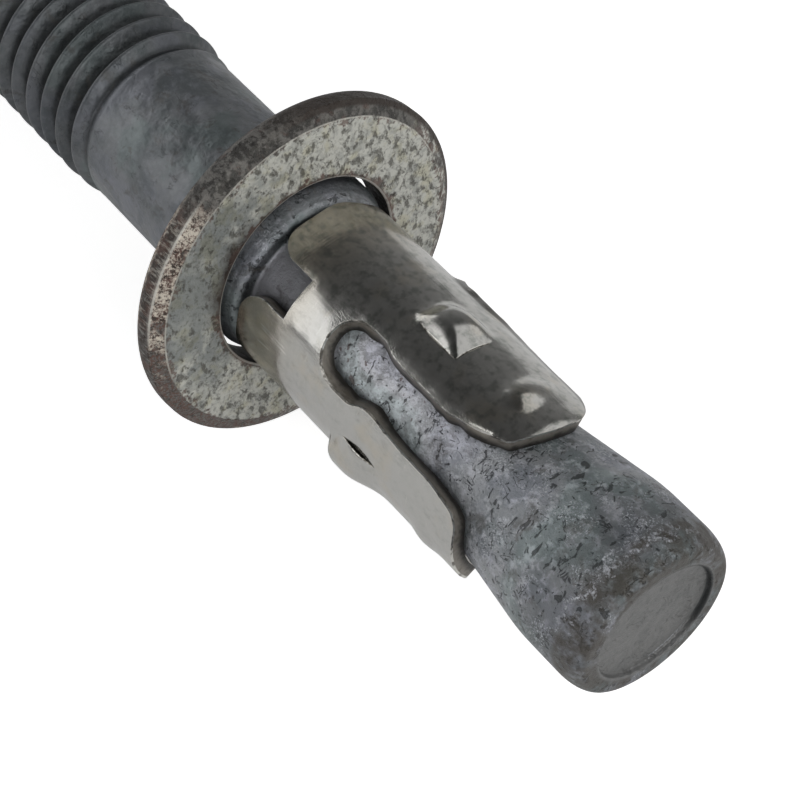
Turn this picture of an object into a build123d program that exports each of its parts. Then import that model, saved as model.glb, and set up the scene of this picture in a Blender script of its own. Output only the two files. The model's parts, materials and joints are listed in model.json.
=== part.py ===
# Wedge anchor of the M12 class: a bolt with a cone at its end, an expansion clip rolled from
# sheet round the bolt's neck, a loose washer and a hex nut.
#
# The anchor lies on its washer's rim and on the far edge of one of its nut's flats, as it comes
# to rest on a bench.
# +X points out of the cone end, +Z is up, and the origin is on the bench under its middle.
# Every "at" is a distance along the bolt from the face of its cone end, in millimetres. Angles
# round the bolt start at the top and grow towards +Y.

import os
from math import cos, degrees, radians, sin, sqrt, tan

from build123d import *

# Bolt
bolt_length = 100.0
shank_diameter = 11.2         # the rolling blank, a little under the thread's crests
thread_diameter = 12.0        # crests of the M12 thread, whose turns aren't cut here
thread_length = 53.5
thread_run_out = 1.5
thread_end_chamfer = 1.2
recess_diameter = 8.2         # shallow dish that the cropping tool leaves in the cone end
recess_depth = 0.3
end_round = 1.2
land_length = 5.4             # full-diameter land ahead of the cone
cone_half_angle = 8.0
cone_blend = 14.0             # radius where the cone meets the land and the neck
neck_diameter = 9.3
shoulder_at = 31.15
shoulder_round = 0.6
collar_diameter = 11.5        # the shank is upset a little behind the shoulder
collar_end_at = 33.0
collar_fade_at = 36.0

# Expansion clip: three legs joined by bridges, with a seam where the rolled strip closes
clip_diameter = 11.8
sheet_thickness = 0.92
clip_tip_at = 10.2
clip_top_at = 30.65
leg_count = 3
first_leg_angle = 19.5
slot_width = 3.36             # across the outer surface, between two legs
keyhole_at = 21.75            # centre of the round relief that ends each slot
keyhole_diameter = 4.4
keyhole_throat_round = 1.5    # where the relief runs out into the slot
notch_floor_at = 27.15        # floor of the notch between two tabs
notch_width = 2.9
seam_width = 2.2
leg_taper_from = 14.6         # where a leg starts to narrow towards its tip
leg_taper = 1.35              # how much it has lost at its tip, on its leading side
leg_taper_trailing = 0.7
tip_corner = 0.4
tip_corner_trailing = 1.6
tab_corner = 1.6
tab_corner_trailing = 1.8

# Barb pressed out of each leg, and the dimple nearer its tip
barb_length = 3.7
barb_width = 3.1
barb_height = 0.9
barb_at = 19.05
barb_offset_angle = 6.5       # from the middle of the leg
barb_peak_inset = (1.6, 0.8)  # from the barb's steep end and steep side
barb_top = (0.55, 0.45)
barb_foot_depth = 0.35        # its foot is sunk this far into the sheet's outer face
barb_hollow = 0.74            # pressed in from the inner face
dimple_at = 13.0
dimple_offset_angle = 6.0
dimple_length = 1.9
dimple_width = 2.5
dimple_height = 0.28
dimple_foot_depth = 0.15
dimple_slope = 0.4            # how far its top is drawn in from its foot

# Washer
washer_diameter = 23.1
washer_bore = 13.0
washer_thickness = 2.1
washer_face_at = 31.6         # middle of the face that looks at the clip
washer_lift = 0.2             # the shank hangs this far below the middle of the bore
washer_lean = 4.0             # top leans towards the nut
washer_swing = 3.2            # +Y side swings towards the cone end
washer_rim_chamfer = (0.45, 1.0)  # into the rim, and across the face that looks at the clip
washer_back_taper = (0.9, 0.6)    # into the rim, and across the face that looks at the nut
washer_bore_chamfer = 0.2

# Nut
nut_across_flats = 19.0
nut_height = 10.0
nut_at = 85.25
nut_bore = 12.1
nut_face_share = 0.95         # of its width across flats: where the crown's chamfer starts
nut_chamfer_angle = 30.0
nut_mouth_chamfer = 0.6

os.makedirs("parts", exist_ok=True)


# How it rests --------------------------------------------------------------------------------

def axis_directions(pitch):
    """Along the bolt towards its thread, and up square to it, when that end hangs by pitch."""
    return Vector(-cos(pitch), 0, -sin(pitch)), Vector(-sin(pitch), 0, cos(pitch))


def washer_facing(pitch):
    """Unit normal of the washer's back face."""
    along, up = axis_directions(pitch)
    return (along - up * tan(radians(washer_lean))
            - Vector(0, 1, 0) * tan(radians(washer_swing))).normalized()


def washer_drop(pitch):
    """Height of the bolt's cone end above the bench when the washer's rim touches the bench."""
    along, up = axis_directions(pitch)
    facing = washer_facing(pitch)
    middle = along * washer_face_at + up * washer_lift + facing * (washer_thickness / 2)
    reach = washer_diameter / 2 * sqrt(1 - facing.Z ** 2) + washer_thickness / 2 * abs(facing.Z)
    return reach - middle.Z


def nut_drop(pitch):
    """Height of the bolt's cone end above the bench when the nut's far edge touches the bench."""
    along, up = axis_directions(pitch)
    far_edge = along * (nut_at + nut_height) - up * (nut_across_flats / 2)
    return -far_edge.Z


def rest_pitch():
    """The pitch at which the washer and the nut both touch the bench."""
    low, high = 0.0, radians(10)
    for _ in range(40):
        middle = (low + high) / 2
        if nut_drop(middle) < washer_drop(middle):
            low = middle
        else:
            high = middle
    return (low + high) / 2


pitch = rest_pitch()
along, up = axis_directions(pitch)
side = Vector(0, 1, 0)
cone_end = Vector(bolt_length / 2 * cos(pitch), 0, washer_drop(pitch))
bolt_axis = Axis(cone_end, along)

# Profiles that are turned about the bolt: local X runs along it and local Y outwards, at the top
profile_plane = Plane(origin=cone_end, x_dir=along, z_dir=(0, 1, 0))


def outward(angle):
    """Direction square to the bolt at an angle round it."""
    return up * cos(radians(angle)) + side * sin(radians(angle))


def plane_round(angle, height=0.0):
    """Plane square to outward(angle): local X along the bolt, local Y towards smaller angles."""
    return Plane(origin=cone_end + outward(angle) * height, x_dir=along, z_dir=outward(angle))


def plane_across(at, facing=along):
    """Plane square to the bolt, or to facing, with its local X at the top."""
    return Plane(origin=cone_end + along * at, x_dir=up - facing * up.dot(facing), z_dir=facing)


# Bolt ----------------------------------------------------------------------------------------

shank_radius = shank_diameter / 2
thread_radius = thread_diameter / 2
neck_radius = neck_diameter / 2
collar_radius = collar_diameter / 2
thread_start = bolt_length - thread_length
cone_length = (shank_radius - neck_radius) / tan(radians(cone_half_angle))
neck_start = land_length + cone_length

bolt_corners = {
    "dish floor": (recess_depth, 0),
    "dish rim": (recess_depth, recess_diameter / 2 - recess_depth),
    "lip": (0, recess_diameter / 2),
    "end corner": (0, shank_radius),
    "land": (land_length, shank_radius),
    "neck": (neck_start, neck_radius),
    "neck corner": (shoulder_at, neck_radius),
    "shoulder": (shoulder_at, collar_radius),
    "collar": (collar_end_at, collar_radius),
    "shank": (collar_fade_at, shank_radius),
    "thread foot": (thread_start, shank_radius),
    "thread crest": (thread_start + thread_run_out, thread_radius),
    "thread end": (bolt_length - thread_end_chamfer, thread_radius),
    "bolt end": (bolt_length, thread_radius - thread_end_chamfer),
    "bolt middle": (bolt_length, 0),
}
bolt_rounds = {
    "end corner": end_round,
    "land": cone_blend,
    "neck": cone_blend,
    "shoulder": shoulder_round,
}


with BuildPart() as anchor_bolt:
    with BuildSketch(profile_plane) as bolt_profile:
        with BuildLine():
            Polyline(*bolt_corners.values(), close=True)
        make_face()
        for name, radius in bolt_rounds.items():
            corner = bolt_profile.vertices().sort_by_distance((*bolt_corners[name], 0))[0]
            fillet(corner, radius)
    revolve(axis=bolt_axis)


# Expansion clip ------------------------------------------------------------------------------

clip_radius = clip_diameter / 2
clip_inner_radius = clip_radius - sheet_thickness
clip_length = clip_top_at - clip_tip_at
overrun = 1.0                 # how far a cut runs past the sheet's edge
leg_pitch = 360 / leg_count
leg_angles = [first_leg_angle + index * leg_pitch for index in range(leg_count)]
slot_angles = [angle - leg_pitch / 2 for angle in leg_angles]
seam_angle = slot_angles[-1]


def leg_gap(angle):
    """Gap between two legs: open at their tips and ended by a round relief."""
    half = slot_width / 2
    leading = half + leg_taper
    trailing = half + leg_taper_trailing
    mouth = clip_tip_at - overrun
    throat = keyhole_at - sqrt((keyhole_diameter / 2) ** 2 - half ** 2)
    with BuildSketch(plane_round(angle)) as gap:
        with BuildLine():
            Polyline(
                (throat, -half), (leg_taper_from, -half), (clip_tip_at + tip_corner, -leading),
            )
            RadiusArc(
                (clip_tip_at + tip_corner, -leading), (clip_tip_at, -leading - tip_corner),
                -tip_corner,
            )
            Polyline(
                (clip_tip_at, -leading - tip_corner), (mouth, -leading - tip_corner),
                (mouth, trailing + tip_corner_trailing),
                (clip_tip_at, trailing + tip_corner_trailing),
            )
            RadiusArc(
                (clip_tip_at, trailing + tip_corner_trailing),
                (clip_tip_at + tip_corner_trailing, trailing), -tip_corner_trailing,
            )
            Polyline(
                (clip_tip_at + tip_corner_trailing, trailing), (leg_taper_from, half), (throat, half),
            )
            ThreePointArc((throat, half), (keyhole_at + keyhole_diameter / 2, 0), (throat, -half))
        make_face()
        throats = gap.vertices().sort_by_distance((throat, 0, 0))[:2]
        fillet(throats, keyhole_throat_round)
    return gap.sketch


def tab_gap(angle):
    """Gap between two tabs: a flat floor, and round corners at the tabs' tops."""
    half = notch_width / 2
    mouth = clip_top_at + overrun
    leading = half + tab_corner
    trailing = half + tab_corner_trailing
    with BuildSketch(plane_round(angle)) as gap:
        with BuildLine():
            Polyline(
                (clip_top_at - tab_corner_trailing, half), (notch_floor_at, half),
                (notch_floor_at, -half), (clip_top_at - tab_corner, -half),
            )
            RadiusArc((clip_top_at - tab_corner, -half), (clip_top_at, -leading), tab_corner)
            Polyline(
                (clip_top_at, -leading), (mouth, -leading), (mouth, trailing),
                (clip_top_at, trailing),
            )
            RadiusArc(
                (clip_top_at, trailing), (clip_top_at - tab_corner_trailing, half),
                tab_corner_trailing,
            )
        make_face()
    return gap.sketch


def seam_gap(angle):
    """Gap where the two ends of the rolled strip face each other."""
    with BuildSketch(plane_round(angle)) as gap:
        with Locations(((keyhole_at + clip_top_at) / 2, 0)):
            Rectangle(clip_top_at - keyhole_at + overrun, seam_width)
    return gap.sketch


def barb_sections(leg_angle, inset, turned):
    """Foot and top of a four-sided barb, sunk and shrunk by inset, its peak near one corner."""
    sign = -1 if turned else 1
    middle = leg_angle - sign * barb_offset_angle
    peak_at = barb_at + sign * (barb_peak_inset[0] - barb_length / 2)
    peak_aside = sign * (barb_width / 2 - barb_peak_inset[1])
    with BuildSketch(plane_round(middle, clip_radius - barb_foot_depth - inset)) as foot:
        with Locations((barb_at, 0)):
            Rectangle(barb_length - inset, barb_width - inset)
    with BuildSketch(plane_round(middle, clip_radius + barb_height - inset)) as top:
        with Locations((peak_at, peak_aside)):
            Rectangle(*barb_top)
    return foot.sketch, top.sketch


def dimple_sections(leg_angle):
    """Foot and top of the dimple near a leg's tip."""
    middle = leg_angle - dimple_offset_angle
    with BuildSketch(plane_round(middle, clip_radius - dimple_foot_depth)) as foot:
        with Locations((dimple_at, 0)):
            Ellipse(dimple_length / 2, dimple_width / 2)
    with BuildSketch(plane_round(middle, clip_radius + dimple_height)) as top:
        with Locations((dimple_at, 0)):
            Ellipse(dimple_length / 2 - dimple_slope, dimple_width / 2 - dimple_slope)
    return foot.sketch, top.sketch


with BuildPart() as expansion_clip:
    with BuildSketch(profile_plane):
        with Locations(((clip_tip_at + clip_top_at) / 2, clip_radius - sheet_thickness / 2)):
            Rectangle(clip_length, sheet_thickness)
    revolve(axis=bolt_axis)
    for angle in slot_angles:
        extrude(leg_gap(angle), amount=clip_diameter, mode=Mode.SUBTRACT)
        extrude(tab_gap(angle), amount=clip_diameter, mode=Mode.SUBTRACT)
    extrude(seam_gap(seam_angle), amount=clip_diameter, mode=Mode.SUBTRACT)
    for index, angle in enumerate(leg_angles):
        turned = index == leg_count - 1
        loft(barb_sections(angle, 0, turned))
        loft(barb_sections(angle, barb_hollow, turned), mode=Mode.SUBTRACT)
        loft(dimple_sections(angle))


# Washer --------------------------------------------------------------------------------------

facing = washer_facing(pitch)
washer_middle = cone_end + along * washer_face_at + up * washer_lift
washer_up = (up - facing * up.dot(facing)).normalized()
washer_radius = washer_diameter / 2
washer_bore_radius = washer_bore / 2

# The washer's section: local X runs through its thickness and local Y outwards
section_plane = Plane(origin=washer_middle, x_dir=facing, z_dir=facing.cross(washer_up))

with BuildPart() as washer:
    with BuildSketch(section_plane):
        with BuildLine():
            chamfer_deep, chamfer_across = washer_rim_chamfer
            taper_deep, taper_across = washer_back_taper
            Polyline(
                (washer_bore_chamfer, washer_bore_radius),
                (0, washer_bore_radius + washer_bore_chamfer),
                (0, washer_radius - chamfer_across),
                (chamfer_deep, washer_radius),
                (washer_thickness - taper_deep, washer_radius),
                (washer_thickness, washer_radius - taper_across),
                (washer_thickness, washer_bore_radius),
                close=True,
            )
        make_face()
    revolve(axis=Axis(washer_middle, facing))


# Nut -----------------------------------------------------------------------------------------

nut_sides = 6
half_turn_of_side = 180 / nut_sides
nut_face_radius = nut_across_flats / 2 * nut_face_share
nut_corner_radius = nut_across_flats / 2 / cos(radians(half_turn_of_side))
nut_crown = (nut_corner_radius - nut_face_radius) * tan(radians(nut_chamfer_angle))

with BuildPart() as hex_nut:
    with BuildSketch(plane_across(nut_at)):
        RegularPolygon(
            nut_across_flats / 2, nut_sides, major_radius=False, rotation=half_turn_of_side,
        )
        Circle(nut_bore / 2, mode=Mode.SUBTRACT)
    extrude(amount=nut_height)
    with BuildSketch(profile_plane):
        with BuildLine():
            Polyline(
                (nut_at, 0), (nut_at, nut_face_radius),
                (nut_at + nut_crown, nut_corner_radius),
                (nut_at + nut_height - nut_crown, nut_corner_radius),
                (nut_at + nut_height, nut_face_radius), (nut_at + nut_height, 0),
                close=True,
            )
        make_face()
    revolve(axis=bolt_axis, mode=Mode.INTERSECT)
    mouths = hex_nut.edges().filter_by(GeomType.CIRCLE).sort_by(SortBy.RADIUS)[:2]
    chamfer(mouths, nut_mouth_chamfer)


pieces = {
    "anchor_bolt": anchor_bolt,
    "expansion_clip": expansion_clip,
    "washer": washer,
    "hex_nut": hex_nut,
}
for name, piece in pieces.items():
    piece.part.label = name
    export_step(piece.part, f"parts/{name}.step")

print(f"pitch {degrees(pitch):.3f} deg, cone end at x {cone_end.X:.3f}, z {cone_end.Z:.3f}")
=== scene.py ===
import json
import math

import bmesh
import bpy
from mathutils import Matrix, Quaternion, Vector, noise


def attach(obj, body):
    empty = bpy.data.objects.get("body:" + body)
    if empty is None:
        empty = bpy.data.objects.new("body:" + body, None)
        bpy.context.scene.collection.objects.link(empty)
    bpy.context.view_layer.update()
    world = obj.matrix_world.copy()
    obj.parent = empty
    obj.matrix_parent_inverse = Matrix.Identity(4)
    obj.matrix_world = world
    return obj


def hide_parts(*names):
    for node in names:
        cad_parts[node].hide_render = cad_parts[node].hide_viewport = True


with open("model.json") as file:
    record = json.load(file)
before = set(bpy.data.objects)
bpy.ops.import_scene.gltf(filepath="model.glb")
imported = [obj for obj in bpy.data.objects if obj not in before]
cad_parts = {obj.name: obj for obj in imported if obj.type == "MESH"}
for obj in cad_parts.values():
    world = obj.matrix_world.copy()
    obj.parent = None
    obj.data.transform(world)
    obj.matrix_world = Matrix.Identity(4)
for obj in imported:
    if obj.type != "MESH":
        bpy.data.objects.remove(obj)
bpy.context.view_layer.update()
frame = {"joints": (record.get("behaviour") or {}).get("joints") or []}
print("frame loaded")

# Every piece is modelled in millimetres along X, from the cone end towards the thread, with the
# bolt's upward side along Z. Angles round the bolt start there and grow towards -Y, which is the
# frame's +Y.
clipTurn = next(joint for joint in frame["joints"] if joint["name"] == "clip_turn")
turnAt = 20.0                     # the clip turns about a point this far from the cone end
millimetre = 0.001
alongBolt = Vector(clipTurn["axis"]).normalized()
sideways = Vector((0, 1, 0))
aboveBolt = sideways.cross(alongBolt)
coneEnd = Vector(clipTurn["pos_m"]) - alongBolt * turnAt * millimetre
boltAxes = Matrix((alongBolt, -sideways, aboveBolt)).transposed()
onBolt = Matrix.Translation(coneEnd) @ boltAxes.to_4x4() @ Matrix.Scale(millimetre, 4)


def roundBolt(at, radius, degrees):
    angle = math.radians(degrees)
    return Vector((at, -radius * math.sin(angle), radius * math.cos(angle)))


def smoothStep(low, high, value):
    share = min(max((value - low) / (high - low), 0), 1)
    return share * share * (3 - 2 * share)


def mix(low, high, share):
    return low + (high - low) * share


def selectOnly(*pieces):
    bpy.ops.object.select_all(action="DESELECT")
    for piece in pieces:
        piece.select_set(True)
    bpy.context.view_layer.objects.active = pieces[0]


def addNew(name, add, **settings):
    bpy.ops.object.select_all(action="DESELECT")
    add(**settings)
    piece = bpy.context.active_object
    piece.name = piece.data.name = name
    return piece


def startEditing(piece):
    # with all of the piece selected, by its corners
    selectOnly(piece)
    bpy.ops.object.mode_set(mode="EDIT")
    bpy.ops.mesh.select_mode(type="VERT")
    bpy.ops.mesh.select_all(action="SELECT")


def stopEditing():
    bpy.ops.object.mode_set(mode="OBJECT")


def modify(piece, kind, **settings):
    # a modifier, added and applied at once
    selectOnly(piece)
    modifier = piece.modifiers.new(kind.lower(), kind)
    for key, value in settings.items():
        setattr(modifier, key, value)
    bpy.ops.object.modifier_apply(modifier=modifier.name)


def place(piece, where):
    piece.matrix_world = where
    selectOnly(piece)
    bpy.ops.object.transform_apply(location=True, rotation=True, scale=True)


def drawLine(name, corners):
    # a plane is merged to one vertex, which is then extruded from corner to corner
    piece = addNew(name, bpy.ops.mesh.primitive_plane_add, size=1, location=(0, 0, 0))
    startEditing(piece)
    bpy.ops.mesh.merge(type="CENTER")
    bpy.ops.transform.translate(value=(corners[0][0], 0, corners[0][1]))
    for before, after in zip(corners, corners[1:]):
        step = (after[0] - before[0], 0, after[1] - before[1])
        bpy.ops.mesh.extrude_region_move(TRANSFORM_OT_translate={"value": step})
    stopEditing()
    return piece


def turnOnLathe(name, corners, steps):
    piece = drawLine(name, corners)
    startEditing(piece)
    bpy.ops.mesh.spin(steps=steps, angle=2 * math.pi, center=(0, 0, 0), axis=(1, 0, 0))
    bpy.ops.mesh.select_all(action="SELECT")
    bpy.ops.mesh.remove_doubles(threshold=0.0005)
    bpy.ops.mesh.normals_make_consistent(inside=False)
    stopEditing()
    return piece


def straightCorners(first, last, shares, eased=False):
    # points between two corners, with the radius changing evenly or eased in and out
    corners = []
    for share in shares:
        rise = smoothStep(0, 1, share) if eased else share
        corners.append((mix(first[0], last[0], share), mix(first[1], last[1], rise)))
    return corners


def curveCorners(middle, reach, start, end, steps):
    # points on an ellipse, by angle from +X towards +Z
    turns = [math.radians(mix(start, end, step / steps)) for step in range(steps + 1)]
    return [(middle[0] + reach[0] * math.cos(t), middle[1] + reach[1] * math.sin(t)) for t in turns]


# Bolt

bolt = {
    "length": 100.0,
    "shankRadius": 5.6,
    "neckRadius": 4.65,
    "dishRadius": 3.95,
    "dishDepth": 0.34,
    "dishRounds": (0.12, 0.09),   # at its floor and at its rim
    "dishFlare": 0.02,
    "faceRadius": 4.85,           # the flat end ends here and the soft round begins
    "roundLength": 1.9,
    "landEnd": 5.15,
    "coneSlope": 0.14,
    "bendReach": 0.85,            # the cone bends into the land and the neck this far on both sides
    "shoulderAt": 31.15,
    "shoulderRound": 0.6,
    "neckRound": 0.3,             # in the corner where the neck meets the shoulder
    "collarRadius": 5.75,         # the shank is a little thicker behind the shoulder
    "collarFull": (6.18, 32.6),   # and thickest under the washer
    "collarEnd": 36.0,
    "collarFade": 38.0,
    "threadRadius": 6.0,
    "pitch": 1.75,
    "threadStart": 46.5,
    "bridge": 0.2,                # the shank's last ring stands this far before it
    "threadDepth": 1.07,
    "runOut": 3.4,
    "endChamfer": 1.2,
    "steps": 128,
}


def bend(at, radius, before, after):
    # a soft bend in the profile where two slopes would meet
    reach = bolt["bendReach"]
    corners = []
    for share in (0, 0.25, 0.5, 0.75, 1):
        away = mix(-reach, reach, share)
        corners.append((at + away, radius + before * away + (after - before) * reach * share ** 2))
    return corners


def boltProfile():
    shank, neck, slope = bolt["shankRadius"], bolt["neckRadius"], -bolt["coneSlope"]
    dish, depth, face = bolt["dishRadius"], bolt["dishDepth"], bolt["faceRadius"]
    land, reach, shoulder = bolt["landEnd"], bolt["bendReach"], bolt["shoulderAt"]
    neckStart = land + (neck - shank) / slope
    foot, head = land + reach, neckStart - reach
    quarters = (0.25, 0.5, 0.75, 1)
    corners = straightCorners((depth, 0), (depth, dish), (0, 0.25, 0.5, 0.75))
    floor, rim = bolt["dishRounds"]
    corners += curveCorners((depth - floor, dish - floor), (floor, floor), 0, 90, 3)
    corners += curveCorners((rim, dish + bolt["dishFlare"] + rim), (rim, rim), 270, 180, 3)
    corners += straightCorners((0, dish), (0, face), (0.6, 0.8))
    corners += curveCorners((bolt["roundLength"], face), (bolt["roundLength"], shank - face), 180, 90, 12)
    corners += straightCorners((bolt["roundLength"], shank), (land - reach, shank), (0.33, 0.67))
    corners += bend(land, shank, 0, slope)
    corners += straightCorners((foot, shank + slope * reach), (head, neck - slope * reach), quarters[:3])
    corners += bend(neckStart, neck, slope, 0)
    innerRound, outerRound, collar = bolt["neckRound"], bolt["shoulderRound"], bolt["collarRadius"]
    neckEnd, collarFrom = shoulder - innerRound, shoulder + outerRound
    corners += straightCorners((neckStart + reach, neck), (neckEnd, neck), quarters)
    corners += curveCorners((neckEnd, neck + innerRound), (innerRound, innerRound), 270, 360, 4)[1:]
    corners += curveCorners((collarFrom, collar - outerRound), (outerRound, outerRound), 180, 90, 6)
    fullRadius, fullFrom = bolt["collarFull"]
    corners += straightCorners((collarFrom, collar), (fullFrom, fullRadius), quarters, True)
    corners += straightCorners((bolt["collarEnd"], fullRadius), (bolt["collarFade"], shank),
                               (0, 0.2, 0.4, 0.6, 0.8, 1), True)
    lastRing = bolt["threadStart"] - bolt["bridge"]
    corners += straightCorners((bolt["collarFade"], shank), (lastRing, shank), quarters)
    return corners


def threadTurns(name, radius, start, end, runOut, chamfer):
    # one pitch of the profile is screwed along the bolt, and faded into the shank where it starts
    pitch, depth, shank = bolt["pitch"], bolt["threadDepth"], bolt["shankRadius"]
    root = radius - depth
    shape = [(0, 0), (0.07, 0.02), (0.14, 0.12), (0.27, 0.5), (0.4, 0.88), (0.44, 0.97), (0.48, 1),
             (0.52, 1), (0.56, 0.97), (0.6, 0.88), (0.73, 0.5), (0.86, 0.12), (0.93, 0.02), (1, 0)]
    first = start - 2 * pitch
    ribbon = drawLine(name, [(first + x * pitch, root + z * depth) for x, z in shape])
    modify(ribbon, "SCREW", axis="X", angle=2 * math.pi, screw_offset=pitch,
           iterations=math.ceil((end - first) / pitch) + 1, steps=bolt["steps"],
           render_steps=bolt["steps"], use_smooth_shade=False)
    for vertex in ribbon.data.vertices:
        at, low = vertex.co.x, math.hypot(vertex.co.y, vertex.co.z)
        wanted = low
        if runOut:
            wanted = mix(shank, low, smoothStep(start, start + runOut, at))
        if chamfer:
            wanted = min(wanted, radius - (at - (end - chamfer)))
        vertex.co.y *= wanted / low
        vertex.co.z *= wanted / low
    startEditing(ribbon)
    bpy.ops.mesh.remove_doubles(threshold=0.002)
    bpy.ops.mesh.select_all(action="SELECT")
    bpy.ops.mesh.bisect(plane_co=(start, 0, 0), plane_no=(1, 0, 0), clear_inner=True, use_fill=not runOut)
    bpy.ops.mesh.select_all(action="SELECT")
    bpy.ops.mesh.bisect(plane_co=(end, 0, 0), plane_no=(1, 0, 0), clear_outer=True, use_fill=True)
    bpy.ops.mesh.select_all(action="SELECT")
    bpy.ops.mesh.normals_make_consistent(inside=False)
    stopEditing()
    return ribbon


def makeBolt():
    start, end = bolt["threadStart"], bolt["length"]
    piece = turnOnLathe("anchorBolt", boltProfile(), bolt["steps"])
    thread = threadTurns("boltThread", bolt["threadRadius"], start, end, bolt["runOut"], bolt["endChamfer"])
    selectOnly(piece, thread)
    bpy.ops.object.join()
    startEditing(piece)
    bpy.ops.mesh.select_all(action="DESELECT")
    stopEditing()
    # the two open ends are bridged where the thread starts
    low, high = start - bolt["bridge"] - 0.05, start + 0.001
    ends = bmesh.new()
    ends.from_mesh(piece.data)
    for edge in ends.edges:
        edge.select_set(edge.is_boundary and all(low < vertex.co.x < high for vertex in edge.verts))
    ends.to_mesh(piece.data)
    ends.free()
    bpy.ops.object.mode_set(mode="EDIT")
    bpy.ops.mesh.select_mode(type="EDGE")
    bpy.ops.mesh.bridge_edge_loops()
    bpy.ops.mesh.select_mode(type="VERT")
    bpy.ops.mesh.select_all(action="SELECT")
    bpy.ops.mesh.normals_make_consistent(inside=False)
    stopEditing()
    bpy.ops.object.shade_smooth_by_angle(angle=math.radians(50))
    return piece


boltPiece = makeBolt()
print("bolt modelled")

# Expansion clip, drawn flat, thickened and then rolled round the neck

clip = {
    "radius": 5.9,
    "sheet": 0.92,
    "seamAngle": -160.5,
    "turnedLeg": 0,               # its barb is turned half a turn
    "seamHalf": 1.1,
    # pairs are a leg's low-angle side and its high-angle side
    "slotHalf": (1.62, 1.75),
    "slotOpens": ((17.3, 0.0, 0.0), (18.5, 0.09, 0.25)),     # from where, how fast and how far
    "legTapers": ((14.8, 0.24), (13.4, 0.16)),
    "tipAt": 10.1,
    "tipSet": (0.12, -0.03, 0.05),                           # of each leg, further back
    "tipBow": (0.02, 0.075, 0.04),
    "tipCorner": ((0.9, 0.9), (0.35, 2.5), (0.8, 1.6)),
    "keyholeAt": 21.75,
    "keyholeReach": 2.2,
    "keyholeHalf": (2.02, 2.35),
    "keyholePower": 2.3,
    "throat": ((19.5, 20.9), (19.2, 20.6)),
    "notchFloor": 27.15,
    "notchHalf": (1.48, 1.40),
    "topAt": 30.62,
    "tabCorner": (1.6, 1.8),
    "tabCrown": (0.3, 1.3),                                  # its height and its reach
    "cutSlant": (0.38, 0.38),                                # the sheared face leans into the slot
    "slantGrows": (16.5, 19.5),                              # on the high-angle side
    "keyholeSlant": (0.25, 1.6),                             # how far, and out to here from its middle
    "slantReach": 0.7,                                       # into the sheet's inner face
    "cutWave": 0.05,
    "cutsFrom": 1.2,              # rims further from a slot than this belong to a barb's cut
    "tipReach": 3.0,                                         # the tip's set and bow fade out over this
    "grid": 0.3,
    "barbGrid": 0.255,            # finer where a barb is pressed
    "edgeReach": 3.6,             # a leg's columns follow its edge this far in
    "bevel": 0.05,
    "roll": 0.12,                 # the upper leg's tip and low-angle edge are rolled down
    "rollReach": 0.5,
    "rollWidth": 2.6,             # as far across as this, from the leg's middle
    "rollFades": (12, 15),
    "burr": (0.04, 0.3),          # a burr stands along its high-angle edge, tallest at the keyhole
    "burrReach": 0.7,
    "burrGrows": (14, 23.5),
}
barb = {
    "cut": 17.15,                 # its steep end, on the legs that aren't turned
    "side": -2.15,                # its steep side, from the leg's middle
    "length": 4.3,
    "width": 3.6,
    "cutAcross": 2.6,
    "height": 0.94,
    "peak": (1.9, 1.75),
    "round": (0.35, 1.0),         # how far its two steep faces round off towards the peak
    "lift": 0.07,                 # how far the cut foot stands open
}
# the turned leg's barb is cut along its side alone: up from its high end, over and down
turnedBarb = {
    "high": 21.5,
    "length": 4.35,
    "shift": 0.4,                 # nearer the leg's middle than the others
    "height": 0.8,
    "rise": (0.0, 0.75),
    "fall": (1.9, 5.0),
    "acrossRise": (0.0, 1.5),
    "acrossFall": (2.2, 4.0),
    "lift": 0.34,                 # how far the cut foot stands open
    "lip": 0.16,                  # the foot's own edge is rolled down by this
    "liftFrom": 0.12,             # the foot itself is lifted where the sheet is cut
    "liftReach": 1.4,
    "cutFrom": 1.3,               # the cut starts this far from the high end
}
# pairs are a dimple's low-angle side and its high-angle side
dimple = {"at": 13.0, "offset": 0.62, "length": 2.8, "reach": (1.6, 3.0), "height": (0.2, 0.36, 0.3)}

legPitch = 2 * math.pi * clip["radius"] / 3
squareness = 2 ** (-1 / clip["keyholePower"])
gapHalf = sum(clip["keyholeHalf"]) / 2 * squareness
cornerRow = clip["keyholeAt"] + clip["keyholeReach"] * squareness
edgeCoat, burrCoat, shadedCutCoat = 1, 2, 3    # places in the clip's list of materials, after the sheet's


def middleOf(leg):
    return legPitch * (leg + 0.5)


def spread(low, high, spacing, crowd=None):
    # even stops from low to high, or crowded towards one end
    count = max(2, round(abs(high - low) / spacing))
    shares = [step / count for step in range(count + 1)]
    if crowd == "low":
        shares = [1 - math.cos(share * math.pi / 2) for share in shares]
    if crowd == "high":
        shares = [math.sin(share * math.pi / 2) for share in shares]
    return [mix(low, high, share) for share in shares]


def joined(*runs):
    stops = list(runs[0])
    for run in runs[1:]:
        stops += run[1:]
    return stops


def barbSpan(leg):
    # where the barb's foot lies: along the clip, and round it from the middle of the leg
    low, high = barb["cut"], barb["cut"] + barb["length"]
    first, last = barb["side"], barb["side"] + barb["width"]
    if leg == clip["turnedLeg"]:
        return low, turnedBarb["high"], -last - turnedBarb["shift"], -first - turnedBarb["shift"]
    return low, high, first, last


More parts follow.
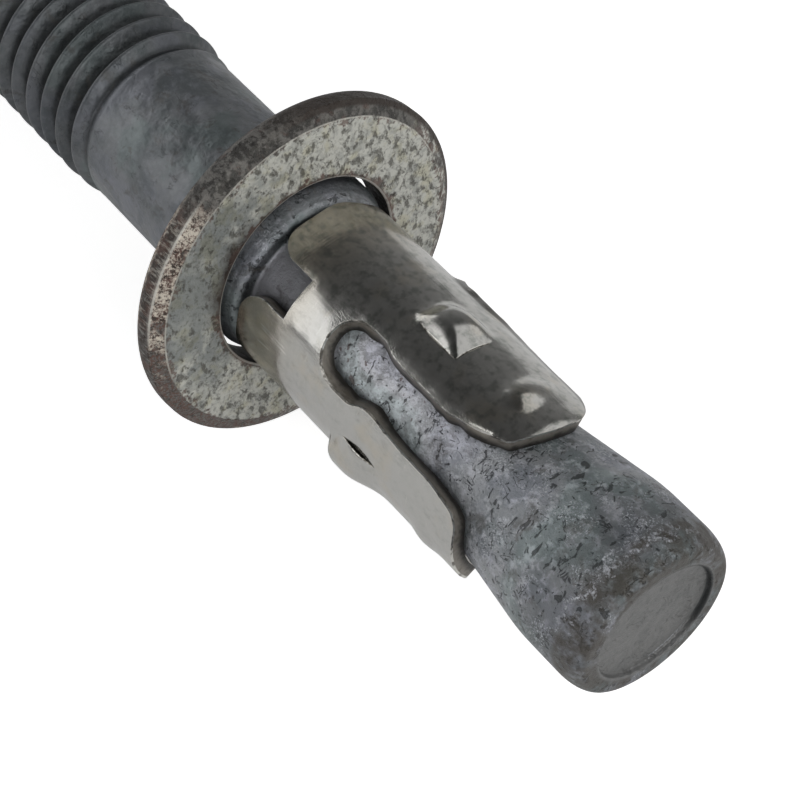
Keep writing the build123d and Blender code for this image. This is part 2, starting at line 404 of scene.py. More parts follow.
def clipColumns():
    # arc lengths round the clip, from one side of the seam to the other
    spacing = clip["grid"]
    runs = [spread(clip["seamHalf"], gapHalf, spacing)]
    for leg in range(3):
        middle = middleOf(leg)
        low, high = middle - legPitch / 2 + gapHalf, middle + legPitch / 2 - gapHalf
        _, _, barbLow, barbHigh = barbSpan(leg)
        runs.append(spread(low, middle + barbLow, spacing))
        runs.append(spread(middle + barbLow, middle + barbHigh, clip["barbGrid"]))
        runs.append(spread(middle + barbHigh, high, spacing))
        if leg < 2:
            runs.append(spread(high, high + 2 * gapHalf, spacing))
    runs.append(spread(3 * legPitch - gapHalf, 3 * legPitch - clip["seamHalf"], spacing))
    return joined(*runs)


def clipRows():
    spacing = clip["grid"]
    low, high = barb["cut"], barb["cut"] + barb["length"]
    tipEnd, tabFrom = clip["tipAt"] + 1.0, clip["topAt"] - max(clip["tabCorner"])
    return joined(
        spread(clip["tipAt"], tipEnd, spacing / 2, "low"),
        spread(tipEnd, low, spacing),
        spread(low, high, clip["barbGrid"]),
        spread(high, cornerRow, spacing),
        spread(cornerRow, clip["notchFloor"], spacing),
        spread(clip["notchFloor"], tabFrom, spacing),
        spread(tabFrom, clip["topAt"], spacing / 2, "high"),
    )


def superRound(share):
    # a circle drawn a little square
    power = clip["keyholePower"]
    return (1 - min(max(share, 0), 1) ** power) ** (1 / power)


def keyholeTop(fromSlot, side):
    # where the round end of a keyhole lies along the clip, this far from the slot's middle
    return clip["keyholeAt"] + clip["keyholeReach"] * superRound(fromSlot / clip["keyholeHalf"][side])


def roundedCorner(radius, into):
    # how far a round corner has come in where its edge ends
    return radius - math.sqrt(max(radius ** 2 - into ** 2, 0)) if into > 0 else 0


def halfGap(at, side, leg):
    # half the width of the gap beside a leg: side 0 is the leg's low-angle side
    if at <= clip["keyholeAt"]:
        opensFrom, opens, most = clip["slotOpens"][side]
        tapersFrom, tapers = clip["legTapers"][side]
        half = clip["slotHalf"][side] + min(opens * max(opensFrom - at, 0), most)
        half += tapers * max(tapersFrom - at, 0)
        low, high = clip["throat"][side]
        half = mix(half, clip["keyholeHalf"][side], smoothStep(low, high, at))
        corner = clip["tipCorner"][leg][side]
        return half + roundedCorner(corner, clip["tipAt"] + corner - at)
    top = superRound((min(at, cornerRow) - clip["keyholeAt"]) / clip["keyholeReach"])
    top *= clip["keyholeHalf"][side]
    if at <= cornerRow:
        return top
    if at < clip["notchFloor"]:
        return mix(top, clip["notchHalf"][side], (at - cornerRow) / (clip["notchFloor"] - cornerRow))
    corner = clip["tabCorner"][side]
    return clip["notchHalf"][side] + roundedCorner(corner, at - clip["topAt"] + corner)


def softLeast(first, second, soft):
    return min(first, second) - max(soft - abs(first - second), 0) ** 2 / (4 * soft)


def barbHeight(along, across):
    # two steep faces that meet over the corner of the cut, and a soft fall on the far sides
    peakAlong, peakAcross = barb["peak"]
    if not (0 <= along <= barb["length"] and 0 <= across <= barb["width"]):
        return 0
    farAlong = max(along - peakAlong, 0) / (barb["length"] - peakAlong)
    farAcross = max(across - peakAcross, 0) / (barb["width"] - peakAcross)
    dome = 1 - smoothStep(0, 1, math.hypot(farAlong, farAcross))
    along, across = min(along / peakAlong, 1), min(across / peakAcross, 1)
    along = mix(along, along * (2 - along), barb["round"][0])
    across = mix(across, across * (2 - across), barb["round"][1])
    steep = softLeast(along, across, 0.1 + 0.5 * min(along, across))
    return barb["height"] * max(softLeast(steep, dome, 0.4), 0)


def turnedOpening(along):
    share = (along - turnedBarb["cutFrom"]) / (turnedBarb["length"] - turnedBarb["cutFrom"])
    return math.sin(math.pi * min(max(share, 0), 1))


def turnedBarbHeight(along, across):
    # along runs from the barb's high end, across from its cut
    if along <= 0 or across <= 0:
        return 0
    lengthwise = smoothStep(*turnedBarb["rise"], along) * (1 - smoothStep(*turnedBarb["fall"], along))
    crosswise = smoothStep(*turnedBarb["acrossRise"], across)
    crosswise *= 1 - smoothStep(*turnedBarb["acrossFall"], across)
    height = turnedBarb["height"] * lengthwise * crosswise
    if across > turnedBarb["liftFrom"]:
        opened = turnedOpening(along)
        height += turnedBarb["lift"] * opened * (1 - smoothStep(0, turnedBarb["liftReach"], across))
    return height


def cutLine(at):
    # where the turned barb's cut runs, from the middle of its leg
    middle = middleOf(clip["turnedLeg"])
    return clipPlace(at, middle + barbSpan(clip["turnedLeg"])[3])[1] - middle


def clipHeight(at, leg, across):
    # how far the sheet's outer face stands proud of its cylinder
    low, high, barbLow, _ = barbSpan(leg)
    if leg == clip["turnedLeg"]:
        height = turnedBarbHeight(high - at, cutLine(at) - across)
    else:
        height = barbHeight(at - low, across - barbLow)
    aside = across + dimple["offset"]
    wide = dimple["reach"][0 if aside < 0 else 1]
    rounded = math.hypot((at - dimple["at"]) / dimple["length"] * 2, aside / wide)
    if rounded < 1:
        height += dimple["height"][leg] * (1 - rounded ** 2) ** 2
    return height


def besideLeg(arc):
    # the leg, the distance from its middle and the side that an arc length lies on
    leg = min(int(arc / legPitch), 2)
    fromMiddle = arc - middleOf(leg)
    return leg, fromMiddle, (0 if fromMiddle < 0 else 1)


def clipPlace(at, arc):
    # a stop of the even grid, moved so that the grid follows the clip's outline
    leg, fromMiddle, side = besideLeg(arc)
    fromSlot = legPitch / 2 - abs(fromMiddle)
    sign = 1 if side == 0 else -1
    slotMiddle = arc - sign * fromSlot
    half = halfGap(at, side, leg)
    if fromSlot < gapHalf - 1e-6:
        top = keyholeTop(halfGap(cornerRow, side, leg) / gapHalf * fromSlot, side)
        share = min(max((at - cornerRow) / (clip["notchFloor"] - cornerRow), 0), 1)
        return mix(top, clip["notchFloor"], share), slotMiddle + sign * fromSlot * half / gapHalf, True
    follow = max(1 - (fromSlot - gapHalf) / clip["edgeReach"], 0)
    moved = arc + sign * (half - gapHalf) * follow
    moved += sign * clip["cutWave"] * follow ** 4 * noise.noise(Vector((at * 1.3, arc * 0.2, 5)))
    tip = 1 - smoothStep(clip["tipAt"], clip["tipAt"] + clip["tipReach"], at)
    off = moved - middleOf(leg)
    crown, wide = clip["tabCrown"]
    rise = smoothStep(clip["notchFloor"] + 1, clip["topAt"], at) * crown * math.exp(-(off / wide) ** 2)
    return at + (clip["tipSet"][leg] + clip["tipBow"][leg] * off ** 2) * tip + rise, moved, False


def makeClip():
    columns, rows = clipColumns(), clipRows()
    across = len(columns)
    piece = addNew("expansionClip", bpy.ops.mesh.primitive_grid_add,
                   x_subdivisions=across - 1, y_subdivisions=len(rows) - 1, size=1)
    gaps = set()
    for row, at in enumerate(rows):
        for column, arc in enumerate(columns):
            index = row * across + column
            x, moved, inGap = clipPlace(at, arc)
            piece.data.vertices[index].co = (x, -moved, 0)
            if inGap:
                gaps.add(index)
    for polygon in piece.data.polygons:
        at = sum(rows[index // across] for index in polygon.vertices) / 4
        cutOut = at < cornerRow or at > clip["notchFloor"]
        polygon.select = cutOut and any(index in gaps for index in polygon.vertices)
    for thing in list(piece.data.vertices) + list(piece.data.edges):
        thing.select = False
    selectOnly(piece)
    bpy.ops.object.mode_set(mode="EDIT")
    bpy.ops.mesh.select_mode(type="FACE")
    bpy.ops.mesh.delete(type="FACE")
    bpy.ops.mesh.select_mode(type="VERT")
    stopEditing()
    splitBarbs(piece)
    for vertex in piece.data.vertices:
        leg, fromMiddle, _ = besideLeg(-vertex.co.y)
        vertex.co.z += clipHeight(vertex.co.x, leg, fromMiddle)
    thicken(piece)
    for vertex in piece.data.vertices:
        at, aside, height = vertex.co
        degrees = clip["seamAngle"] + math.degrees(-aside / clip["radius"])
        vertex.co = roundBolt(at, clip["radius"] + height, degrees)
    return piece


def barbCuts():
    # each barb's steep corner, which way it is cut from there, and the ground that it covers
    for leg in range(3):
        low, high, barbLow, barbHigh = barbSpan(leg)
        arcLow, arcHigh = middleOf(leg) + barbLow, middleOf(leg) + barbHigh
        turned = leg == clip["turnedLeg"]
        corner = (high, arcHigh, -1) if turned else (low, arcLow, 1)
        yield *corner, low, high, arcLow, arcHigh, turned


def splitBarbs(piece):
    # the sheet is cut along each barb's two steep feet, and the barb's side of the cut is lifted
    near, shortest, atRow = 0.12, 0.05, 1e-3
    turnedMiddle = middleOf(clip["turnedLeg"])
    flat = bmesh.new()
    flat.from_mesh(piece.data)
    chosen = []
    for edge in flat.edges:
        ends = [(vertex.co.x, -vertex.co.y) for vertex in edge.verts]
        long, wide = [abs(first - second) > shortest for first, second in zip(*ends)]
        for footAt, footArc, way, low, high, arcLow, arcHigh, turned in barbCuts():
            cutHigh = high - turnedBarb["cutFrom"] if turned else high
            onEnd, onSide = wide and not turned, long
            for x, arc in ends:
                foot = turnedMiddle + cutLine(x) if turned else footArc
                into = (arc - footArc) * way
                onEnd = onEnd and abs(x - footAt) < atRow and -near < into < barb["cutAcross"]
                onSide = onSide and low - atRow < x < cutHigh + atRow and abs(arc - foot) < near
            if onEnd or onSide:
                chosen.append(edge)
    bmesh.ops.split_edges(flat, edges=chosen)
    for vertex in flat.verts:
        if not vertex.is_boundary:
            continue
        around = [face.calc_center_median() for face in vertex.link_faces]
        middle = sum(around, Vector()) / len(around)
        for footAt, footArc, way, low, high, arcLow, arcHigh, turned in barbCuts():
            if turned:
                footArc = arcHigh = turnedMiddle + cutLine(vertex.co.x)
            inside = low < middle.x < high and arcLow < -middle.y < arcHigh
            onSide = abs(-vertex.co.y - footArc) < near
            if inside and (onSide or abs(vertex.co.x - footAt) < atRow and not turned):
                share = abs(vertex.co.x - footAt) / barb["length"]
                if not onSide:
                    share = abs(-vertex.co.y - footArc) / barb["cutAcross"]
                vertex.co.z = barb["lift"] * math.sin(math.pi * min(share, 1))
                if turned:
                    lip = turnedBarb["lift"] - turnedBarb["lip"]
                    vertex.co.z = lip * turnedOpening(footAt - vertex.co.x)
    flat.to_mesh(piece.data)
    flat.free()


def rimReach(at, arc):
    # how far a place on the flat sheet lies from the nearest slot, notch or end
    leg, fromMiddle, side = besideLeg(arc)
    fromSlot = legPitch / 2 - abs(fromMiddle)
    fromHole = fromSlot - halfGap(at, side, leg)
    if at > clip["keyholeAt"]:
        power = clip["keyholePower"]
        around = ((at - clip["keyholeAt"]) / clip["keyholeReach"]) ** power
        around += (fromSlot / clip["keyholeHalf"][side]) ** power
        fromHole = (around ** (1 / power) - 1) * clip["keyholeReach"]
    fromNotch = math.hypot(max(fromSlot - clip["notchHalf"][side], 0), max(clip["notchFloor"] - at, 0))
    return max(min(fromHole, fromNotch, at - clip["tipAt"], clip["topAt"] - at), 0)


def thicken(piece):
    outer, faces = len(piece.data.vertices), len(piece.data.polygons)
    modify(piece, "SOLIDIFY", thickness=clip["sheet"], offset=-1, use_even_offset=True)
    for polygon in piece.data.polygons[2 * faces:]:
        at, aside, _ = polygon.center
        polygon.material_index = shadedCutCoat if rimReach(at, -aside) > clip["cutsFrom"] else edgeCoat
    soft = clip["slantReach"]
    for index in range(outer):
        top, under = piece.data.vertices[index].co, piece.data.vertices[outer + index].co
        at, arc = top.x, -top.y
        leg, fromMiddle, side = besideLeg(arc)
        sign = 1 if side == 0 else -1
        fromSlot = legPitch / 2 - abs(fromMiddle)
        lean = clip["cutSlant"][side]
        if side == 1:
            lean *= smoothStep(*clip["slantGrows"], at)
        lean *= 1 + 0.5 * noise.noise(Vector((at * 1.1, leg * 7, side * 3)))
        ragged = 1 - smoothStep(cornerRow - 0.6, cornerRow + 0.6, at)
        near = max(1 - (fromSlot - halfGap(at, side, leg)) / soft, 0) * ragged
        under.y += sign * lean * min(near, 1)
        if clip["keyholeAt"] < at < clip["notchFloor"]:
            slant, wide = clip["keyholeSlant"]
            inSlot = min(max(1 - (fromSlot - wide) / soft, 0), 1)
            under.x -= slant * max(1 - (at - keyholeTop(fromSlot, side)) / soft, 0) * inSlot
        reach = rimReach(at, arc)
        if leg == 1 and fromMiddle < clip["rollWidth"]:
            share = mix(1, 0.25, smoothStep(*clip["rollFades"], at))
            top.z -= clip["roll"] * max(1 - reach / clip["rollReach"], 0) ** 2 * share
        if leg == 1 and side == 1:
            standing = max(1 - reach / clip["burrReach"], 0) * smoothStep(cornerRow + 1, cornerRow, at)
            tall = mix(*clip["burr"], smoothStep(*clip["burrGrows"], at))
            top.z += tall * standing * (1 + 0.5 * noise.noise(Vector((at * 0.9, 3, 8))))
    reach = piece.data.attributes.new("rimReach", "FLOAT", "POINT")
    for vertex in piece.data.vertices:
        reach.data[vertex.index].value = rimReach(vertex.co.x, -vertex.co.y)


def finishClip(piece):
    modify(piece, "BEVEL", width=clip["bevel"], segments=2, limit_method="ANGLE",
           angle_limit=math.radians(60), material=burrCoat)
    modify(piece, "SUBSURF", levels=1, render_levels=1)
    inner = clip["radius"] - clip["sheet"] / 2
    for polygon in piece.data.polygons:
        if polygon.material_index == burrCoat and math.hypot(*polygon.center.yz) < inner:
            polygon.material_index = edgeCoat
    bpy.ops.object.shade_smooth_by_angle(angle=math.radians(55))


clipPiece = makeClip()
print("clip drawn and rolled")

# Washer

washer = {
    "radius": 11.55,
    "bore": 6.5,
    "thickness": 2.1,
    "faceAt": 31.6,
    "lift": 0.2,                  # its middle is this far above the bolt's
    "lean": 4.0,                  # degrees that its face turns from square: up and down, and sideways
    "swing": 3.2,
    "chamferAcross": 1.0,
    "chamferDeep": 0.45,
    "edgeRound": 0.05,
    "backRound": 1.0,
    "boreRound": 0.2,
    "backBoreRound": 0.15,
    "steps": 160,
}


def washerPlace():
    facing = (alongBolt - aboveBolt * math.tan(math.radians(washer["lean"]))
              - sideways * math.tan(math.radians(washer["swing"]))).normalized()
    upward = (aboveBolt - facing * aboveBolt.dot(facing)).normalized()
    axes = Matrix((facing, upward.cross(facing), upward)).transposed()
    middle = coneEnd + (alongBolt * washer["faceAt"] + aboveBolt * washer["lift"]) * millimetre
    return Matrix.Translation(middle) @ axes.to_4x4() @ Matrix.Scale(millimetre, 4)


onWasher = washerPlace()


def makeWasher():
    radius, bore, thick, soft = washer["radius"], washer["bore"], washer["thickness"], washer["boreRound"]
    across, deep = washer["chamferAcross"], washer["chamferDeep"]
    edge, back, inner = washer["edgeRound"], washer["backRound"], washer["backBoreRound"]
    slantFrom = radius - across
    corners = curveCorners((soft, bore + soft), (soft, soft), 270, 180, 4)
    corners += straightCorners((0, bore + soft), (0, slantFrom - edge), (0.15, 0.35, 0.5, 0.65, 0.85, 1))
    corners += [(edge * 0.7, slantFrom + edge * 1.6)]
    corners += straightCorners((0, slantFrom), (deep, radius), (0.35, 0.65))
    corners += [(deep - edge * 0.7, radius - edge * 1.6), (deep + edge, radius)]
    corners += straightCorners((deep, radius), (thick - back, radius), (0.4, 0.7))
    corners += curveCorners((thick - back, radius - back), (back, back), 90, 10, 10)
    corners += straightCorners((thick, radius - back), (thick, bore + inner), (0, 0.25, 0.5, 0.75))
    corners += curveCorners((thick - inner, bore + inner), (inner, inner), 360, 270, 3)
    corners += straightCorners((thick - inner, bore), (soft, bore), (0.35, 0.7, 1))
    piece = turnOnLathe("flatWasher", corners, washer["steps"])
    bpy.ops.object.shade_smooth_by_angle(angle=math.radians(35))
    return piece


washerPiece = makeWasher()
print("washer modelled")

# Hex nut

nut = {
    "at": 85.25,
    "height": 10.0,
    "acrossFlats": 19.0,
    "faceRadius": 9.025,          # the crown's slant starts here
    "chamferAngle": 30.0,
    "over": 0.02,                 # the crown's cutter clears the corners by this
    "mouthRadius": 6.45,
    "mouthDepth": 0.6,
    "clearance": 0.06,
    "tapPast": 0.8,               # the tap runs out of both mouths by this
    "bevel": 0.16,
    "sliver": 0.004,              # specks that the cuts leave are merged below this
    "steps": 96,
}


def cutBy(piece, tool, how):
    modify(piece, "BOOLEAN", operation=how, solver="EXACT", object=tool)
    bpy.data.objects.remove(tool)


def makeNut():
    corner = nut["acrossFlats"] / 2 / math.cos(math.radians(30))
    face = nut["faceRadius"]
    crown = (corner - face) * math.tan(math.radians(nut["chamferAngle"]))
    low, high = nut["at"], nut["at"] + nut["height"]
    piece = addNew("hexNut", bpy.ops.mesh.primitive_cylinder_add, vertices=6, radius=corner,
                   depth=nut["height"], location=((low + high) / 2, 0, 0), rotation=(0, math.pi / 2, 0))
    bpy.ops.object.transform_apply(location=True, rotation=True, scale=True)
    beyond = corner + nut["over"]
    crownPiece = turnOnLathe("crown", [(low, 0), (low, face), (low + crown, beyond),
                                       (high - crown, beyond), (high, face), (high, 0)], nut["steps"])
    cutBy(piece, crownPiece, "INTERSECT")
    modify(piece, "BEVEL", width=nut["bevel"], segments=2, limit_method="ANGLE", angle_limit=math.radians(25))
    mouth, deep = nut["mouthRadius"], nut["mouthDepth"]
    for end, way in ((low, 1), (high, -1)):
        floorAt, past = end + way * deep, way * 0.1
        cone = turnOnLathe("mouth", [(end - past, 0), (end - past, mouth + 0.1),
                                     (floorAt, mouth - deep), (floorAt + past, 0)], nut["steps"])
        cutBy(piece, cone, "DIFFERENCE")
    tapLow, tapHigh = low - nut["tapPast"], high + nut["tapPast"]
    tap = threadTurns("tap", bolt["threadRadius"] + nut["clearance"], tapLow, tapHigh, 0, 0)
    cutBy(piece, tap, "DIFFERENCE")
    startEditing(piece)
    bpy.ops.mesh.remove_doubles(threshold=nut["sliver"])
    bpy.ops.mesh.select_all(action="SELECT")
    bpy.ops.mesh.dissolve_degenerate(threshold=nut["sliver"])
    stopEditing()
    bpy.ops.object.shade_smooth_by_angle(angle=math.radians(28))
    return piece


nutPiece = makeNut()
print("nut modelled")

# Materials


def addNode(tree, kind, inputs=None, **settings):
    # each input is a socket to link from, or a fixed value
    node = tree.nodes.new(kind)
    for key, value in settings.items():
        setattr(node, key, value)
    for key, value in (inputs or {}).items():
        if isinstance(value, bpy.types.NodeSocket):
            tree.links.new(value, node.inputs[key])
        else:
            node.inputs[key].default_value = value
    return node


def connect(source, target):
    source.id_data.links.new(source, target)


def startMaterial(name, colour, metallic, roughness, where):
    # a material, and its object coordinates turned into millimetres on the bolt or on the washer
    material = bpy.data.materials.new(name)
    material.use_nodes = True
    tree = material.node_tree
    shader = tree.nodes["Principled BSDF"]
    shader.inputs["Base Color"].default_value = (*colour, 1)
    shader.inputs["Metallic"].default_value = metallic
    shader.inputs["Roughness"].default_value = roughness
    coordinates = addNode(tree, "ShaderNodeTexCoord")
    return material, addNode(tree, "ShaderNodeMapping", {
        "Vector": coordinates.outputs["Object"], "Location": where.to_translation(),
        "Rotation": where.to_euler("XYZ"), "Scale": (millimetre,) * 3,
    }, vector_type="TEXTURE").outputs["Vector"]


def finished(material, colour, normal=None, roughness=None):
    shader = material.node_tree.nodes["Principled BSDF"]
    for name, source in (("Base Color", colour), ("Normal", normal), ("Roughness", roughness)):
        if source is not None:
            connect(source, shader.inputs[name])
    return material


def stretched(vector, scale, turn=(0, 0, 0)):
    inputs = {"Vector": vector, "Scale": scale, "Rotation": turn}
    return addNode(vector.id_data, "ShaderNodeMapping", inputs).outputs["Vector"]


def cloud(vector, scale, detail=4.0, rough=0.5, distortion=0.0):
    return addNode(vector.id_data, "ShaderNodeTexNoise", {
        "Vector": vector, "Scale": scale, "Detail": detail, "Roughness": rough, "Distortion": distortion,
    }).outputs["Fac"]


def band(value, low, high, out=(0, 1)):
    # runs softly from the first of out to the second, while the value goes from low to high
    return addNode(value.id_data, "ShaderNodeMapRange", {
        "Value": value, "From Min": low, "From Max": high, "To Min": out[0], "To Max": out[1],
    }, interpolation_type="SMOOTHSTEP").outputs["Result"]


def maths(operation, first, second=0.0):
    # one of the two can be a fixed number
    tree = next(value.id_data for value in (first, second) if isinstance(value, bpy.types.NodeSocket))
    return addNode(tree, "ShaderNodeMath", {0: first, 1: second}, operation=operation).outputs[0]


def plus(first, second):
    return maths("ADD", first, second)


def minus(first, second):
    return maths("SUBTRACT", first, second)


def greater(first, second):
    return maths("MAXIMUM", first, second)


def product(*values):
    total = values[0]
    for value in values[1:]:
        total = maths("MULTIPLY", total, value)
    return total


def nearTo(value, target, ends, full):
    # 1 where the value is within full of the target, and 0 where it is further away than ends
    return band(maths("ABSOLUTE", minus(value, target)), ends, full)


def tint(share, base, top, blend="MIX"):
    base, top = [value if isinstance(value, bpy.types.NodeSocket) else (*value, 1) for value in (base, top)]
    return addNode(share.id_data, "ShaderNodeMix", {0: share, 6: base, 7: top},
                   data_type="RGBA", blend_type=blend).outputs[2]


def bumps(height, distance, strength=1.0, under=None):
    inputs = {"Height": height, "Distance": distance * millimetre, "Strength": strength}
    if under is not None:
        inputs["Normal"] = under
    return addNode(height.id_data, "ShaderNodeBump", inputs).outputs["Normal"]


def lathed(spot):
    # a place's distance along the axis, from the axis and its angle round it
    parts = addNode(spot.id_data, "ShaderNodeSeparateXYZ", {0: spot})
    y, z = parts.outputs["Y"], parts.outputs["Z"]
    radius = maths("SQRT", plus(product(y, y), product(z, z)))
    return parts.outputs["X"], radius, maths("ARCTAN2", product(y, -1.0), z)


zinc = {
    "dark": (0.115, 0.127, 0.134),
    "middle": (0.19, 0.2, 0.21),
    "light": (0.30, 0.31, 0.335),
    "speck": (0.62, 0.64, 0.69),
    # the darkest tone: scars and the darker thread, and painted shade on the shoulder and in the end's dish
    "scarAndShade": (0.022, 0.025, 0.026),
    "brown": (0.075, 0.067, 0.056),
    "rust": (0.10, 0.05, 0.04),
    "violet": (1.0, 1.0, 1.05),
    "green": (0.91, 0.985, 0.955),
    "worked": (1.72, 1.7, 1.7),   # the cone and the neck are lighter
    # the neck's colours, paler zinc lifted further as painted light
    "neck": (0.8, 0.81, 0.86),
    "neckDark": (0.44, 0.445, 0.47),
    "neckPlain": (0.38, 0.38, 0.415),
    "face": (0.19, 0.19, 0.187),
    # along the bolt, from where each is absent to where it is full
    "rough": (36, 30),
    "workedFrom": (2.5, 6.0),
    "neckFrom": (10.0, 19.5),
    "neckTo": (27.5, 25.5),
    "smoothFrom": (25.5, 28),
    "brownedTo": (2.3, 1.7),
    "threadFrom": (46.5, 50),
    # each zone's middle, and how far from it the zone ends and is full, as angles round the bolt
    "scrapedZone": (-0.25, 1.1, 0.6),
    "dishShadeZone": (1.0, 1.5, 1.1),
    "paintedGlintZone": (2.9, 0.6, 0.3),
}


def galvanised():
    material, spot = startMaterial("galvanisedSteel", zinc["middle"], 0.5, 0.5, onBolt)
    along, radius, angle = lathed(spot)
    rough = band(along, *zinc["rough"])             # the cone and the neck are rougher than the shank
    large = cloud(spot, 0.3, 6, 0.6, 0.6)
    small = cloud(spot, 1.5, 6, 0.66)
    grain = cloud(spot, 8.5, 2, 0.75)
    colour = tint(band(large, 0.36, 0.62), zinc["dark"], zinc["middle"])
    flaked = product(band(small, 0.47, 0.66), band(rough, 0, 1, (0.3, 0.8)))
    colour = tint(flaked, colour, zinc["light"])
    worked = product(band(along, *zinc["workedFrom"]), rough)
    colour = tint(worked, colour, zinc["worked"], "MULTIPLY")
    # the neck in the slots is lighter: partly its own paler zinc, partly painted light against the shade
    # under the clip
    neck = product(band(along, *zinc["neckFrom"]), band(along, *zinc["neckTo"]))
    neckToneAndPaintedLight = tint(band(small, 0.4, 0.58), zinc["neckDark"], zinc["neck"])
    colour = tint(product(neck, 0.9), colour, neckToneAndPaintedLight)
    hue = cloud(spot, 0.24, 3, 0.5)
    colour = tint(band(hue, 0.5, 0.62), colour, zinc["violet"], "MULTIPLY")
    colour = tint(band(hue, 0.48, 0.38), colour, zinc["green"], "MULTIPLY")
    patch = band(cloud(spot, 0.42, 4, 0.6, 0.3), 0.47, 0.6)
    patch = product(greater(patch, product(neck, 0.6)), rough)
    colour = tint(product(band(grain, 0.5, 0.68), patch, 0.8), colour, zinc["speck"])
    # the neck is smooth towards the shoulder, which is bright at its round and dark on both sides, where
    # shade is painted on its face and on the collar behind it
    smoothNeck = product(band(along, *zinc["smoothFrom"]), band(radius, 4.8, 4.7))
    colour = tint(product(smoothNeck, 0.85), colour, zinc["neckPlain"])
    shoulderPaintedShade = greater(product(band(radius, 4.7, 4.85), band(radius, 5.5, 5.25)),
                  product(band(along, 31.75, 32.1), band(along, 38, 36)))
    colour = tint(product(shoulderPaintedShade, band(along, 29, 30.5), 0.72), colour, zinc["scarAndShade"])
    # worm-like scars, lens-shaped dents and soft smudges
    curl = cloud(stretched(spot, (0.8, 1.2, 1.2), (0.4, 0.3, 0.2)), 0.7, 3, 0.55, 1.3)
    line = nearTo(curl, 0.5, 0.022, 0.006)
    where = band(cloud(spot, 0.9, 2, 0.5), 0.54, 0.62)
    dents = cloud(stretched(spot, (1.7, 0.9, 0.9), (0.2, 0.5, 0.9)), 1.25, 3, 0.55, 0.5)
    dents = product(band(dents, 0.615, 0.66), rough)
    pits = product(band(cloud(spot, 3.2, 3, 0.6, 0.6), 0.63, 0.68), rough)
    marks = greater(product(line, where), greater(dents, pits))
    marks = product(marks, band(rough, 0, 1, (0.3, 1)), band(smoothNeck, 0, 1, (1, 0)))
    colour = tint(product(marks, 0.78), colour, zinc["scarAndShade"])
    rusty = product(band(cloud(spot, 1.1, 3, 0.6), 0.63, 0.66), neck, 0.7)
    colour = tint(rusty, colour, zinc["rust"])
    smudge = product(band(cloud(spot, 0.75, 5, 0.65, 0.5), 0.55, 0.66), 0.45)
    colour = tint(smudge, colour, zinc["brown"])
    # the end's round is browned, behind a ridge that was scraped bright
    mottle = cloud(spot, 0.8, 5, 0.65)
    browned = product(band(along, *zinc["brownedTo"]), band(mottle, 0.35, 0.57), 0.85)
    colour = tint(browned, colour, zinc["brown"])
    face = product(band(along, 0.42, 0.36), band(radius, 4.3, 4.0))
    plain = tint(band(small, 0.35, 0.7, (0, 0.2)), zinc["face"], zinc["dark"])
    colour = tint(face, colour, plain)
    wander = plus(along, band(mottle, 0.2, 0.8, (-1.0, 1.0)))
    ridgeAt = band(angle, -0.9, 0.4, (2.0, 1.3))
    ridge = nearTo(wander, ridgeAt, 0.34, 0.06)
    scraped = product(ridge, band(cloud(spot, 2.8, 4, 0.75), 0.45, 0.62))
    scraped = product(scraped, nearTo(angle, *zinc["scrapedZone"]))
    colour = tint(product(scraped, 0.88), colour, zinc["speck"])
    # painted shade on the far side of the dish, and a painted glint on its near rim
    dishPaintedShade = nearTo(radius, bolt["dishRadius"] + 0.02, 0.17, 0.06)
    colour = tint(product(dishPaintedShade, nearTo(angle, *zinc["dishShadeZone"]), 0.9), colour, zinc["scarAndShade"])
    paintedGlint = product(nearTo(radius, bolt["dishRadius"] - 0.2, 0.12, 0.03), band(grain, 0.46, 0.56))
    paintedGlint = product(paintedGlint, nearTo(angle, *zinc["paintedGlintZone"]), band(along, 0.5, 0.4))
    colour = tint(paintedGlint, colour, zinc["speck"])
    colour = tint(band(along, *zinc["threadFrom"], (0, 0.4)), colour, zinc["scarAndShade"])
    waves = bumps(cloud(spot, 0.6, 3, 0.5), 0.25)
    grains = product(plus(grain, small), band(rough, 0, 1, (0.25, 1)))
    sunk = bumps(minus(scraped, marks), 0.07, 1.0, bumps(grains, 0.07, 0.8, waves))
    return finished(material, colour, sunk, band(small, 0.3, 0.7, (0.36, 0.54)))


sheetLook = {
    "base": (0.48, 0.475, 0.455),
    "warm": (0.5, 0.455, 0.375),
    "smear": (0.24, 0.235, 0.22),
    # also the painted dark reflection on the upper leg
    "stain": (0.25, 0.262, 0.24),
    "roughness": (0.14, 0.23),
    "edge": (0.27, 0.25, 0.22),
    "edgeDark": (0.12, 0.104, 0.085),
    # painted shadow at the foot of the cut faces
    "footShadow": (0.022, 0.02, 0.018),
    "burr": (0.66, 0.645, 0.6),
    "burrDirt": (0.17, 0.16, 0.14),
    # painted shade along the burr
    "burrShade": (0.06, 0.056, 0.05),
    # near black, as painted shade on the barbs' cut faces
    "cut": (0.02, 0.019, 0.017),
    "tabsFrom": (24.5, 29.0),     # the tabs are warmer
    "upperLeg": (-0.6, -0.35),    # the upper leg is stained most, which also paints its dark reflection
    "burrShadeFrom": (0.66, 0.8),      # painted shade on the burr along the edge turned from the light
    "burrShadeTo": (1.55, 1.4),
    "burrShadeReach": (0.8, 0.5),
    "footShadowFrom": (5.6, 5.08),      # painted shadow: a cut face darkens towards the bolt
}
# where each starts and ends, in millimetres along the clip and round it
scratches = {
    "long": (25.9, -7.26, 28.6, -7.1),
    "short": (27.3, -8.05, 28.7, -8.2),
    "edge": (26.1, -7.0, 28.7, -6.95),
}


